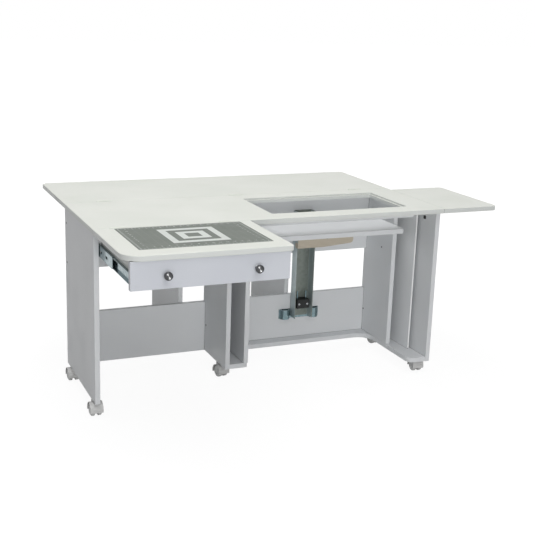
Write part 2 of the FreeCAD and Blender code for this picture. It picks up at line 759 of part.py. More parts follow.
def angle(free_x, web_x, top_z, drop, sheet, y0, y1):
    """An angle section along Y: a flat flange from free_x to web_x and a web that hangs at web_x."""
    inward = math.copysign(sheet, free_x - web_x)
    section = [(free_x, top_z, 0), (web_x, top_z, 0), (web_x, top_z - drop, 0),
               (web_x + inward, top_z - drop, 0), (web_x + inward, top_z - sheet, 0),
               (free_x, top_z - sheet, 0)]
    return placed(slab(section, 0, y1 - y0), ALONG_Y, V(0, y1, 0))


def make_lift_carriage():
    """What rides in the column: carriage, arms, timber bearer, angle bracket and platform."""
    half = column_width / 2 - column_sheet - carriage_clearance
    x0 = lift_x - half
    x1 = lift_x + half
    rear_y = column_back_y - column_bend
    bend = column_bend - column_sheet
    section = [(x0, carriage_front_y, bend), (x1, carriage_front_y, bend),
               (x1, rear_y, 0), (x1 - carriage_sheet, rear_y, 0),
               (x1 - carriage_sheet, carriage_front_y + carriage_sheet, 0),
               (x0 + carriage_sheet, carriage_front_y + carriage_sheet, 0), (x0 + carriage_sheet, rear_y, 0),
               (x0, rear_y, 0)]
    save("lift_carriage", slab(section, carriage_bottom, platform_bottom))

    left = lift_x - bearer_left_reach
    right = left + bearer_length
    low_z = platform_bottom - bearer_drop
    profile = [(left, low_z, 0), (left + bearer_flat, low_z, 0),
               (right, platform_bottom - bearer_end_drop, bearer_corner), (right, platform_bottom, 0),
               (left, platform_bottom, 0)]
    save("lift_bearer", placed(slab(profile, 0, bearer_thickness), ALONG_Y, V(0, bearer_rear_y, 0)))

    save("lift_angle_bracket", angle(left - angle_leg, left, platform_bottom, angle_leg, angle_sheet,
                                     bearer_front_y, bearer_rear_y))
    arms = []
    for side in (-1, 1):
        web_x = lift_x + side * arm_spacing / 2
        arms.append(angle(web_x - side * arm_flange, web_x, platform_bottom, arm_flange, arm_sheet,
                          bearer_rear_y, carriage_front_y))
    save("lift_arms", *arms)
    platform = rectangle(mid_right_x + platform_left_gap, front_y + platform_front,
                         right_wall_x - platform_right_gap, platform_rear_y, platform_corner)
    save("lift_platform", eased_slab(platform, platform_bottom, platform_top, board_chamfer))


def make_caster(name, x, y, heading):
    """A hooded caster, swung to its heading, with twin domed wheels on one axle that trails its stem."""
    axle_y = y - caster_trail
    left = V(x - caster_half, axle_y, wheel_radius)
    right = V(x + caster_half, axle_y, wheel_radius)
    inner = wheel_radius + hood_gap
    outer = inner + hood_wall
    hood = cylinder(outer, left, right)
    for side, end in ((-1, left), (1, right)):
        hood = hood.cut(cylinder(inner, V(x + side * hood_web / 2, axle_y, wheel_radius), end))
    hood = hood.cut(box(x - caster_half, axle_y - outer, wheel_radius - outer, x + caster_half,
                        axle_y + outer, wheel_radius - hood_skirt))
    boss_top = V(x, y, panel_bottom - caster_top_gap)
    boss = cylinder(caster_boss_radius, V(x, y, wheel_radius), boss_top)
    stem = cylinder(caster_stem_radius, boss_top, V(x, y, panel_bottom + caster_stem_length))
    hood = hood.fuse(boss.cut(cylinder(inner, left, right))).fuse(stem)
    hood = hood.cut(cylinder(axle_radius + axle_clearance, left, right))
    turn = FreeCAD.Placement(V(), FreeCAD.Rotation(V(0, 0, 1), heading), V(x, y, 0))
    save("caster_" + name + "_hood", swung(hood.removeSplitter(), turn))

    inner_x = hood_web / 2 + hood_gap / 2
    half_profile = [(axle_radius, inner_x), (wheel_radius, inner_x), (wheel_radius, inner_x + wheel_tread),
                    (wheel_face_radius, inner_x + wheel_width), (0, inner_x + wheel_width)]
    wheels = turned([(r, -along) for r, along in reversed(half_profile)] + half_profile)
    wheels = placed(wheels, FreeCAD.Rotation(V(0, 0, 1), V(1, 0, 0)), V(x, axle_y, wheel_radius))
    save("caster_" + name + "_wheels", swung(wheels, turn))


os.makedirs("parts", exist_ok=True)
make_tops()
make_well_insert()
make_carcass()
make_base_board()
make_drawer()
make_slides()
make_hinges()
make_gate("gate_left", gate_left_axis, 1)
make_gate("gate_right", gate_right_axis, -1)
make_lift_column()
make_lift_carriage()
for caster, stem in casters.items():
    make_caster(caster, *stem)
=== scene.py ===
"""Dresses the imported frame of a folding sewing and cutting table: finishes, fittings, light and camera."""

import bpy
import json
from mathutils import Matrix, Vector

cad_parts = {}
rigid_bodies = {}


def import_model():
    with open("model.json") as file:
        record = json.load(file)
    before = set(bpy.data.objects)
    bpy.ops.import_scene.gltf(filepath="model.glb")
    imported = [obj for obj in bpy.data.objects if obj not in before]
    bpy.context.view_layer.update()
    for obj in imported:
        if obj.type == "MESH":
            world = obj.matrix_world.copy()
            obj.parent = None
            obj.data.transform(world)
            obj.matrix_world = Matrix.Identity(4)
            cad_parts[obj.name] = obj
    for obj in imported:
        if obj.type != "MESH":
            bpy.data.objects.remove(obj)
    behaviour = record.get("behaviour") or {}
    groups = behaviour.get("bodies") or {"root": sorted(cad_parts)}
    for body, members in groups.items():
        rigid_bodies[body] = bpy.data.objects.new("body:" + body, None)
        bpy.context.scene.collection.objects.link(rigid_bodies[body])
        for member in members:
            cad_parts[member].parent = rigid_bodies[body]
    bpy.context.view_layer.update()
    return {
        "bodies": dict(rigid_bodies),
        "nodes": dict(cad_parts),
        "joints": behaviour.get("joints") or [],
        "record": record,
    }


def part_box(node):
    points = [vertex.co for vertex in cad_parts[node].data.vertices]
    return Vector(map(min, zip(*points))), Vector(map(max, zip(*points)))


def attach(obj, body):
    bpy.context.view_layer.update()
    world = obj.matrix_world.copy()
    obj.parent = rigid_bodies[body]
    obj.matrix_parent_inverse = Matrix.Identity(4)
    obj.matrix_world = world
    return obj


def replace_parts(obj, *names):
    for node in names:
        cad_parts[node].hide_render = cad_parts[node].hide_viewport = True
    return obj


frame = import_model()

import json
import logging
import math
from dataclasses import dataclass
from enum import Enum
from functools import reduce
from typing import Mapping, Optional, Union

import bmesh
import bpy
import numpy as np
from bpy.types import ID, Material, Mesh, Node, NodeSocket as Socket, NodeTree, Object
from mathutils import Matrix, Vector

log = logging.getLogger("table")

Point = tuple[float, float, float]
Colour = str
Sockets = Mapping[str, Socket]
Feed = Union[Socket, float, tuple, Colour]
Feeds = dict[str, Feed]
Ramp = tuple[float, ...]

MM = 0.001
INCH = 0.0254
WHITE: Colour = "ffffff"
WELD_DISTANCE = 1e-6
SLIVER_LENGTH = 1e-7


class Body(str, Enum):
    """The moving bodies that new pieces ride on."""
    CARCASS = "carcass"
    DRAWER = "drawer"
    MAT_LEAF = "mat_leaf"
    RIGHT_LEAF = "right_leaf"
    GATE_LEFT = "gate_left"
    GATE_RIGHT = "gate_right"
    LIFT = "lift"


class Slot(str, Enum):
    """Material slots of the record."""
    TOP = "top_laminate"
    CARCASS = "white_melamine"
    INSERT = "insert_board"
    DRAWER_FRONT = "drawer_melamine"
    DRAWER_BOX = "drawer_box_board"
    MAT = "mat_vinyl"
    KNOB = "dark_chrome"
    SLIDE = "bright_zinc"
    LIFT = "dull_zinc"
    BLOCK = "black_block"
    TIMBER = "raw_timber"
    WHITE_HINGE = "white_hinge"
    HINGE = "hinge_steel"
    FOOT = "foot_plastic"
    HOOD = "caster_hood_plastic"
    WHEEL = "caster_wheel_plastic"


class Fitting(str, Enum):
    """Finishes of small fittings and print, each within a slot of the record."""
    INK = "mat_ink"
    SCREW = "screw_zinc"
    DARK_SCREW = "dark_screw"


class Face(str, Enum):
    """Which way a face looks, as the axis across it."""
    SIDE = "X"
    TOP = "Z"


class Effect(str, Enum):
    """Node groups that several finishes share."""
    WEAR = "edge_wear"
    CLOUD = "cloud"
    # painted shade in seams and gaps, drawn from ambient occlusion
    CREVICE = "crevice"


Coat = Union[Slot, Fitting]
NODE_SLOTS = {part["node"]: Slot(part["material_slot"]) for part in frame["record"]["subparts"]}
NODE_BODIES = {node: body for body, nodes in frame["record"]["behaviour"]["bodies"].items() for node in nodes}
JOINTS = {row["name"]: row for row in frame["joints"]}


def linear(code: Colour) -> tuple[float, ...]:
    """Turns a display colour into the linear one that shaders take, by the sRGB curve.

    Args:
        code: red, green and blue as six hex digits.

    Returns:
        The linear colour with full alpha.
    """
    shades = np.array([int(code[start:start + 2], 16) for start in (0, 2, 4)]) / 255.0
    flat = np.where(shades <= 0.04045, shades / 12.92, ((shades + 0.055) / 1.055) ** 2.4)
    return (*flat.tolist(), 1.0)


class Graph:
    """Lays nodes into one node tree and joins them."""
    MIX_INPUTS = (0, 6, 7)
    MIX_OUTPUT = 2

    def __init__(self, tree: NodeTree) -> None:
        """Keeps the tree that the nodes go into."""
        self.tree = tree

    def feed(self, socket: Socket, value: Feed) -> None:
        """Links a socket to another one, or sets a constant on it, by its linear value if it is a colour."""
        if isinstance(value, Socket):
            self.tree.links.new(value, socket)
        else:
            socket.default_value = linear(value) if isinstance(value, str) else value

    def fill(self, made: Node, **inputs: Feed) -> None:
        """Feeds a node's inputs, each by its name with _ for a space."""
        for name, value in inputs.items():
            self.feed(made.inputs[name.replace("_", " ")], value)

    def node(self, kind: str, settings: Optional[dict] = None, *values: Feed, **inputs: Feed) -> Node:
        """Adds one node.

        Args:
            kind: the node's type name after ShaderNode.
            settings: properties to set before its inputs are fed.
            values: what feeds its first inputs, in order.
            inputs: what feeds its inputs by name, with _ for a space.

        Returns:
            The new node.
        """
        made = self.tree.nodes.new("ShaderNode" + kind)
        for key, value in (settings or {}).items():
            setattr(made, key, value)
        for socket, value in zip(made.inputs, values):
            self.feed(socket, value)
        self.fill(made, **inputs)
        return made

    def math(self, operation: str, *values: Feed) -> Socket:
        """Adds a Math node and returns its value."""
        return self.node("Math", {"operation": operation}, *values).outputs[0]

    def vector(self, operation: str, *values: Feed, out: str = "Vector") -> Socket:
        """Adds a Vector Math node and returns the named output."""
        return self.node("VectorMath", {"operation": operation}, *values).outputs[out]

    def times(self, first: Feed, second: Feed) -> Socket:
        """The product of two values."""
        return self.math("MULTIPLY", first, second)

    def highest(self, *values: Feed) -> Socket:
        """The highest of several values."""
        return reduce(lambda first, second: self.math("MAXIMUM", first, second), values)

    def step(self, value: Feed, low: float, high: float, to_low: float = 0.0, to_high: float = 1.0) -> Socket:
        """Maps low..high smoothly on to to_low..to_high, and holds the ends. A Ramp holds these numbers."""
        return self.node("MapRange", {"interpolation_type": "SMOOTHSTEP"}, Value=value, From_Min=low,
                         From_Max=high, To_Min=to_low, To_Max=to_high).outputs["Result"]

    def blend(self, factor: Feed, first: Feed, second: Feed) -> Socket:
        """Mixes two colours by a factor and returns the colour."""
        made = self.node("Mix", {"data_type": "RGBA"})
        for number, value in zip(self.MIX_INPUTS, (factor, first, second)):
            self.feed(made.inputs[number], value)
        return made.outputs[self.MIX_OUTPUT]

    def layered(self, tone: Feed, layers: list[tuple[Feed, Feed]]) -> Socket:
        """Lays colours over a tone in order, each where its mask says."""
        return reduce(lambda under, layer: self.blend(layer[0], under, layer[1]), layers, tone)

    def place(self) -> Socket:
        """Object coordinates, which are the rest frame's metres."""
        return self.node("TexCoord").outputs["Object"]

    def stretched(self, scale: Point, turn: Point = (0.0, 0.0, 0.0)) -> Socket:
        """Object coordinates turned and scaled by axis, for a pattern that is longer one way."""
        return self.node("Mapping", Vector=self.place(), Rotation=turn, Scale=scale).outputs["Vector"]

    def parts(self, vector: Socket) -> tuple[Socket, ...]:
        """The X, Y and Z of a vector."""
        return tuple(self.node("SeparateXYZ", Vector=vector).outputs)

    def facing(self, face: Face) -> Socket:
        """How squarely the surface looks a face's way, from 0 to 1: the size of its normal's part on that axis."""
        normal = self.node("TexCoord").outputs["Normal"]
        return self.math("ABSOLUTE", self.node("SeparateXYZ", Vector=normal).outputs[face.value])

    def noise(self, vector: Socket, scale: Feed, detail: float = 3.0, roughness: float = 0.55) -> Socket:
        """A noise value from 0 to 1."""
        return self.node("TexNoise", Vector=vector, Scale=scale, Detail=detail,
                         Roughness=roughness).outputs["Fac"]

    def effect(self, effect: Effect, **inputs: Feed) -> tuple[Socket, ...]:
        """Places a shared effect with its own values and returns its outputs."""
        group = bpy.data.node_groups[effect.value]
        return tuple(self.node("Group", {"node_tree": group}, **inputs).outputs)

    def bump(self, height: Socket, strength: float, distance: float) -> Socket:
        """Turns a height into a normal."""
        return self.node("Bump", Strength=strength, Distance=distance, Height=height).outputs["Normal"]

    def scuffed(self, marks: Socket, roughness: float, more: float) -> Socket:
        """A roughness that is higher where there are handling marks."""
        return self.step(marks, 0.0, 1.0, roughness, roughness + more)

    def seen(self) -> Socket:
        """1 for what the camera sees, straight or by gloss or glass, and 0 for what lights the object."""
        rays = self.node("LightPath").outputs
        return self.highest(rays["Is Camera Ray"], rays["Is Glossy Ray"], rays["Is Transmission Ray"])


class Effects:
    """Builds the node groups that several finishes share."""

    def build(self) -> None:
        """Builds each group once."""
        self._edge_wear()
        self._cloud()
        self._crevice()

    @staticmethod
    def _group(effect: Effect, inputs: dict[str, float], outputs: list[str]) -> tuple[Graph, Sockets, Sockets]:
        """Starts a group.

        Args:
            effect: which one it is.
            inputs: float inputs with their defaults.
            outputs: names of the float outputs.

        Returns:
            The graph, the inner input sockets by name, and the inner output sockets by name.
        """
        tree = bpy.data.node_groups.new(effect.value, "ShaderNodeTree")
        for label, value in inputs.items():
            tree.interface.new_socket(label, in_out="INPUT", socket_type="NodeSocketFloat").default_value = value
        for label in outputs:
            tree.interface.new_socket(label, in_out="OUTPUT", socket_type="NodeSocketFloat")
        return Graph(tree), tree.nodes.new("NodeGroupInput").outputs, tree.nodes.new("NodeGroupOutput").inputs

    def _edge_wear(self) -> None:
        """A mask that is 1 on edges: how far a rounded normal leaves the face's own, broken up by noise."""
        graph, given, out = self._group(Effect.WEAR, {"Radius": 0.001, "Breakup": 60.0}, ["Mask"])
        rounded_normal = graph.node("Bevel", {"samples": 4}, Radius=given["Radius"]).outputs["Normal"]
        face = graph.node("NewGeometry").outputs["Normal"]
        lean = graph.math("SUBTRACT", 1.0, graph.vector("DOT_PRODUCT", rounded_normal, face, out="Value"))
        broken = graph.step(graph.noise(graph.place(), given["Breakup"], 4.0), 0.3, 0.7, 0.35, 1.0)
        graph.feed(out["Mask"], graph.times(graph.step(lean, 0.01, 0.22), broken))

    def _cloud(self) -> None:
        """Broad soft patches, a fine grain, and handling marks, which are patches cut by streaks, all from noise."""
        scales = {"Broad": 4.0, "Fine": 600.0, "Marks": 9.0}
        graph, given, out = self._group(Effect.CLOUD, scales, list(scales))
        graph.feed(out["Broad"], graph.step(graph.noise(graph.place(), given["Broad"], 2.0), 0.25, 0.75))
        graph.feed(out["Fine"], graph.noise(graph.place(), given["Fine"], 2.0, 0.6))
        patch = graph.step(graph.noise(graph.place(), given["Marks"]), 0.48, 0.68)
        streak = graph.step(graph.noise(graph.stretched((30.0, 160.0, 30.0)), 1.0), 0.3, 0.7)
        graph.feed(out["Marks"], graph.times(patch, streak))

    def _crevice(self) -> None:
        """A mask for painted shade: 1 in narrow seams, where nearby surfaces shut out most of the open sky."""
        graph, given, out = self._group(Effect.CREVICE, {"Reach": 0.006}, ["Mask"])
        open_sky = graph.node("AmbientOcclusion", {"samples": 8}, Distance=given["Reach"]).outputs["AO"]
        graph.feed(out["Mask"], graph.step(open_sky, 0.25, 0.75, 1.0, 0.0))


def new_material(name: str) -> tuple[Material, Graph, Node]:
    """Starts a material, and returns it with its graph and its Principled shader."""
    material = bpy.data.materials.new(name)
    material.use_nodes = True
    return material, Graph(material.node_tree), material.node_tree.nodes["Principled BSDF"]


@dataclass(frozen=True)
class Wear:
    """Rubbed edges: how far in they reach, how finely they break up, and how strongly they show."""
    radius: float
    breakup: float
    strength: float

    def mask(self, graph: Graph) -> Socket:
        """Where edges are rubbed, at their strength."""
        rubbed, = graph.effect(Effect.WEAR, Radius=self.radius, Breakup=self.breakup)
        return graph.times(rubbed, self.strength)


@dataclass(frozen=True)
class Seam:
    """Painted shade in seams and gaps: how near the next surface is, and how strongly the shade shows."""
    reach: float
    strength: float

    def mask(self, graph: Graph) -> Socket:
        """Where the painted seam shade falls, at its strength."""
        narrow, = graph.effect(Effect.CREVICE, Reach=self.reach)
        return graph.times(narrow, self.strength)


class Finish:
    """What every finish shares: a material made from the surface that it lays.

    The scales are those of its broad patches, fine grain and handling marks, where it has them.
    """
    scales: Point

    def build(self, name: str) -> Material:
        """Builds the material of a name."""
        material, graph, shader = new_material(name)
        graph.fill(shader, **self.lay(graph))
        return material

    def clouded(self, graph: Graph) -> tuple[Socket, ...]:
        """The patches, the grain and the marks, each from 0 to 1."""
        broad, fine, marks = self.scales
        return graph.effect(Effect.CLOUD, Broad=broad, Fine=fine, Marks=marks)

    def lay(self, graph: Graph) -> Feeds:
        """Lays the nodes of the surface, each finish in its own way.

        Args:
            graph: the material's graph.

        Returns:
            What feeds the Principled shader, by the input's name with _ for a space.
        """
        raise NotImplementedError


@dataclass(frozen=True)
class BoardFinish(Finish):
    """Laminate on board: a faintly mottled face, a greyer edge band, rubbed corners and painted shade in the seams.
    """
    face: Colour
    shade: Colour
    band: Colour
    rubbed: Colour
    roughness: float = 0.42
    band_level: float = 0.0
    broad_face: Face = Face.TOP
    gloss: float = 0.25
    scuff: float = 0.16
    grain: float = 0.05
    grain_depth: float = 0.3 * MM
    scales: Point = (3.0, 900.0, 7.0)
    grain_tint: Ramp = (0.52, 0.75, 0.0, 0.28)
    band_turn: Ramp = (0.35, 0.85)
    wear: Wear = Wear(1.6 * MM, 45.0, 0.5)
    # the seam fields paint shade where nearby surfaces close in
    seam: Seam = Seam(5.0 * MM, 0.75)
    seam_tone: Colour = "5c5e5a"

    def lay(self, graph: Graph) -> Feeds:
        """Mottle and grain, then the band, the rubbed corners and the painted seam shade over them."""
        broad, fine, marks = self.clouded(graph)
        layers = [(broad, self.shade), (graph.step(fine, *self.grain_tint), self.shade)]
        if self.band_level:
            edge = graph.step(graph.facing(self.broad_face), *self.band_turn, self.band_level, 0.0)
            layers.append((edge, self.band))
        # the last layer is painted shade in the seams
        layers += [(self.wear.mask(graph), self.rubbed), (self.seam.mask(graph), self.seam_tone)]
        return dict(Base_Color=graph.layered(self.face, layers), Specular_IOR_Level=self.gloss,
                    Roughness=graph.scuffed(marks, self.roughness, self.scuff),
                    Normal=graph.bump(fine, self.grain, self.grain_depth))


@dataclass(frozen=True)
class SteelFinish(Finish):
    """Plated sheet steel: crystals of the plating, fine drawn lines, bright edges and, where a side colour is given,
    a painted reflection that lightens the faces looking along X.
    """
    colour: Colour
    second: Colour
    bright: Colour
    roughness: float
    crystals: float = 90.0
    metallic: float = 1.0
    # side: the colour of a painted reflection on faces that look along X
    side: Optional[Colour] = None
    drawn: Point = (40.0, 40.0, 900.0)
    line_detail: float = 4.0
    line_bump: float = 0.12
    line_depth: float = 0.1 * MM
    facet_tint: Ramp = (0.1, 0.9)
    line_tint: Ramp = (0.35, 0.75, 0.0, 0.35)
    side_tint: Ramp = (0.3, 0.9, 0.0, 0.9)
    facet_gloss: Ramp = (-0.05, 0.06)
    line_gloss: Ramp = (0.3, 0.8, -0.04, 0.06)
    wear: Wear = Wear(0.8 * MM, 120.0, 0.7)

    def lay(self, graph: Graph) -> Feeds:
        """Crystals and drawn lines, which also turn the gloss, then the painted reflection on the side faces and the
        edges.
        """
        cell = graph.node("TexVoronoi", Vector=graph.place(), Scale=self.crystals).outputs["Color"]
        facet = graph.node("SeparateColor", Color=cell).outputs["Red"]
        lines = graph.noise(graph.stretched(self.drawn), 1.0, self.line_detail)
        layers = [(graph.step(facet, *self.facet_tint), self.second),
                  (graph.step(lines, *self.line_tint), self.second)]
        # painted reflection: faces that look along X are lightened
        if self.side:
            layers.append((graph.step(graph.facing(Face.SIDE), *self.side_tint), self.side))
        layers.append((self.wear.mask(graph), self.bright))
        facet_rough = graph.step(facet, 0.0, 1.0, *(self.roughness + more for more in self.facet_gloss))
        rough = graph.math("ADD", facet_rough, graph.step(lines, *self.line_gloss))
        return dict(Base_Color=graph.layered(self.colour, layers), Metallic=self.metallic, Roughness=rough,
                    Normal=graph.bump(lines, self.line_bump, self.line_depth))


@dataclass(frozen=True)
class PlasticFinish(Finish):
    """Moulded plastic: a fine spark texture, scuffs, paler edges and, where it has them, painted shade in the gaps.
    """
    colour: Colour
    scuffed: Colour
    roughness: float
    texture: float = 0.12
    gap: Optional[Seam] = None
    gap_shade: float = 0.25
    scuff: float = 0.2
    texture_depth: float = 0.2 * MM
    scales: Point = (25.0, 2200.0, 40.0)
    marks_level: float = 0.45
    patch_tint: Ramp = (0.4, 1.0, 0.0, 0.12)
    wear: Wear = Wear(1.2 * MM, 150.0, 0.6)

    def lay(self, graph: Graph) -> Feeds:
        """Scuffs where marks, edges or cloudy patches are, then the painted shade in the gaps."""
        broad, fine, marks = self.clouded(graph)
        scuff = graph.highest(graph.times(marks, self.marks_level), self.wear.mask(graph))
        layers = [(graph.math("ADD", scuff, graph.step(broad, *self.patch_tint)), self.scuffed)]
        # painted shade in the gaps, the colour darkened by gap_shade
        if self.gap:
            dark = (*(self.gap_shade * part for part in linear(self.colour)[:3]), 1.0)
            layers.append((self.gap.mask(graph), dark))
        return dict(Base_Color=graph.layered(self.colour, layers),
                    Roughness=graph.scuffed(marks, self.roughness, self.scuff),
                    Normal=graph.bump(fine, self.texture, self.texture_depth))


@dataclass(frozen=True)
class SpunFinish(Finish):
    """Dark plating spun to a polish, with faint smears, and a painted highlight: two opposite bright fans on each
    round face.
    """
    colour: Colour
    dull: Colour
    bright: Colour
    centre: Point
    pitch: float
    roughness: float
    scuff: float = 0.14
    lean: float = math.radians(118.0)
    fan: float = 14.0
    rim: Ramp = (9.0 * MM, 11.5 * MM)
    scales: Point = (60.0, 1800.0, 90.0)
    patch_tint: Ramp = (0.3, 0.9, 0.0, 0.35)
    wear: Wear = Wear(0.5 * MM, 200.0, 0.4)

    def lay(self, graph: Graph) -> Feeds:
        """A cloudy dark plating with the painted highlight fans over it, dull at the edges."""
        broad, _, marks = self.clouded(graph)
        # the bright fans are a painted highlight
        layers = [(graph.step(broad, *self.patch_tint), self.dull), (self._fans(graph), self.bright),
                  (self.wear.mask(graph), self.dull)]
        return dict(Base_Color=graph.layered(self.colour, layers), Metallic=1.0,
                    Roughness=graph.scuffed(marks, self.roughness, self.scuff))

    def _fans(self, graph: Graph) -> Socket:
        """Painted highlight fans: a high power of the cosine of the turn about the nearest face's middle, inside its
        rim.

        Args:
            graph: the material's graph.

        Returns:
            The painted highlight's mask.
        """
        x, _, z = graph.parts(graph.vector("SUBTRACT", graph.place(), self.centre))
        x = graph.math("WRAP", x, self.pitch / 2, -self.pitch / 2)
        turn = graph.math("SUBTRACT", graph.math("ARCTAN2", z, x), self.lean)
        fan = graph.math("POWER", graph.math("ABSOLUTE", graph.math("COSINE", turn)), self.fan)
        flat = graph.node("CombineXYZ", X=x, Z=z).outputs["Vector"]
        radius = graph.vector("LENGTH", flat, out="Value")
        return graph.times(fan, graph.step(radius, *self.rim, 1.0, 0.0))


@dataclass(frozen=True)
class TimberFinish(Finish):
    """Raw sawn softwood: growth rings stretched along the length, fine fibres, dusty edges and painted shade in the
    seams.
    """
    early: Colour
    late: Colour
    worn: Colour
    seam_tone: Colour
    ring_scale: Point = (7.0, 110.0, 110.0)
    ring_turn: Point = (0.1, 0.04, 0.0)
    fibre_scale: Point = (30.0, 1500.0, 1500.0)
    ring_size: float = 0.55
    ring_wander: float = 5.0
    ring_detail: float = 3.0
    ring_detail_scale: float = 0.6
    fibre_detail: float = 4.0
    fibre_bump: float = 0.35
    fibre_depth: float = 0.4 * MM
    ring_tint: Ramp = (0.35, 0.95, 0.0, 0.7)
    fibre_tint: Ramp = (0.45, 0.75, 0.0, 0.35)
    fibre_gloss: Ramp = (0.3, 0.7, 0.68, 0.85)
    wear: Wear = Wear(1.8 * MM, 70.0, 0.6)
    seam: Seam = Seam(9.0 * MM, 0.85)

    def lay(self, graph: Graph) -> Feeds:
        """Wave bands for the rings and a stretched noise for the fibres, then the dusty edges and the painted seam
        shade.
        """
        rings = graph.node("TexWave", {"bands_direction": "Z"}, Scale=self.ring_size, Distortion=self.ring_wander,
                           Vector=graph.stretched(self.ring_scale, self.ring_turn), Detail=self.ring_detail,
                           Detail_Scale=self.ring_detail_scale).outputs["Fac"]
        fibre = graph.noise(graph.stretched(self.fibre_scale), 1.0, self.fibre_detail)
        # the last layer is painted shade in the seams
        layers = [(graph.step(rings, *self.ring_tint), self.late), (graph.step(fibre, *self.fibre_tint), self.late),
                  (self.wear.mask(graph), self.worn), (self.seam.mask(graph), self.seam_tone)]
        return dict(Base_Color=graph.layered(self.early, layers), Roughness=graph.step(fibre, *self.fibre_gloss),
                    Normal=graph.bump(fibre, self.fibre_bump, self.fibre_depth))


@dataclass(frozen=True)
class MatFinish(Finish):
    """Self-healing cutting mat: a fine pebbled vinyl with a printed inch grid, ruler ticks and nested squares."""
    vinyl: Colour
    shade: Colour
    ink: Colour
    faint: Colour
    low: Point
    high: Point
    shift: Point = (3.3 * MM, 4.0 * MM, 0.0)
    margin: float = 7.5 * MM
    tick: float = 6.0 * MM
    line: float = 0.5 * MM
    bold: float = 2.6
    grid_level: float = 0.55
    fine_level: float = 0.45
    frame_level: float = 0.2
    marks_level: float = 0.14
    squares: tuple[tuple[int, int], ...] = ((3, 4), (1, 2))
    roughness: float = 0.58
    scuff: float = 0.16
    pebble: float = 0.2
    pebble_depth: float = 0.3 * MM
    scales: Point = (14.0, 1400.0, 16.0)
    patch_tint: Ramp = (0.0, 1.0, 0.0, 0.5)

    def lay(self, graph: Graph) -> Feeds:
        """Clouded vinyl, then the print and faint handling marks over it."""
        grid, ink = self._print(graph)
        broad, fine, marks = self.clouded(graph)
        layers = [(graph.step(broad, *self.patch_tint), self.shade), (grid, self.faint), (ink, self.ink),
                  (graph.times(marks, self.marks_level), self.faint)]
        return dict(Base_Color=graph.layered(self.vinyl, layers),
                    Roughness=graph.scuffed(marks, self.roughness, self.scuff),
                    Normal=graph.bump(fine, self.pebble, self.pebble_depth))

    def _print(self, graph: Graph) -> tuple[Socket, Socket]:
        """Masks of what is printed. A line is where a triangle wave of the place comes close to 0.

        Args:
            graph: the material's graph.

        Returns:
            The faint grid, and the ticks, frame and squares in ink.
        """
        centre = tuple((low + high) / 2 for low, high in zip(self.low, self.high))
        centred = graph.vector("SUBTRACT", graph.place(), centre)
        from_side, from_end = (graph.math("SUBTRACT", (high - low) / 2, graph.math("ABSOLUTE", part))
                               for low, high, part in zip(self.low[:2], self.high[:2], graph.parts(centred)))
        inside = graph.math("MINIMUM", from_side, from_end)
        across, along, _ = graph.parts(graph.vector("SUBTRACT", centred, self.shift))

        def above(value: Socket, edge: float) -> Socket:
            """0 up to an edge and 1 from a line's width past it."""
            return graph.step(value, edge, edge + self.line)

        def below(value: Socket, edge: float) -> Socket:
            """1 up to an edge and 0 from a line's width past it."""
            return graph.step(value, edge, edge + self.line, 1.0, 0.0)

        def ruled(value: Socket, pitch: float, width: float) -> Socket:
            """Lines of a width at every pitch of a coordinate."""
            return graph.step(graph.math("PINGPONG", value, pitch / 2), width / 2, width, 1.0, 0.0)

        def ticks(pitch: float, width: float, reach: float) -> Socket:
            """Ticks of a pitch, width and length along all four sides."""
            return graph.highest(*(graph.times(ruled(value, pitch, width), below(rim, self.margin + reach))
                                   for value, rim in ((across, from_end), (along, from_side))))

        printed = above(inside, self.margin)
        grid = graph.highest(ruled(across, INCH, self.line), ruled(along, INCH, self.line))
        fine_ticks = graph.times(ticks(INCH / 8, self.line, self.tick / 2), self.fine_level)
        all_ticks = graph.highest(ticks(INCH / 2, self.bold * self.line, self.tick), fine_ticks)
        from_frame = graph.math("ABSOLUTE", graph.math("SUBTRACT", inside, self.margin))
        frame_line = graph.times(below(from_frame, self.line), self.frame_level)
        ring = graph.highest(graph.math("ABSOLUTE", across), graph.math("ABSOLUTE", along))
        squares = (graph.times(above(ring, low * INCH), below(ring, high * INCH)) for low, high in self.squares)
        return (graph.times(graph.times(grid, printed), self.grid_level),
                graph.highest(*squares, frame_line, graph.times(all_ticks, printed)))


@dataclass(frozen=True)
class InkFinish(Finish):
    """Printed ink that is a little worn."""
    ink: Colour
    worn: Colour
    scales: Point = (90.0, 2500.0, 9.0)
    fade: Ramp = (0.4, 1.0, 0.0, 0.5)
    gloss: Ramp = (0.3, 0.7, 0.5, 0.7)

    def lay(self, graph: Graph) -> Feeds:
        """Ink that fades by patches."""
        broad, fine, _ = self.clouded(graph)
        return dict(Base_Color=graph.blend(graph.step(broad, *self.fade), self.ink, self.worn),
                    Roughness=graph.step(fine, *self.gloss))


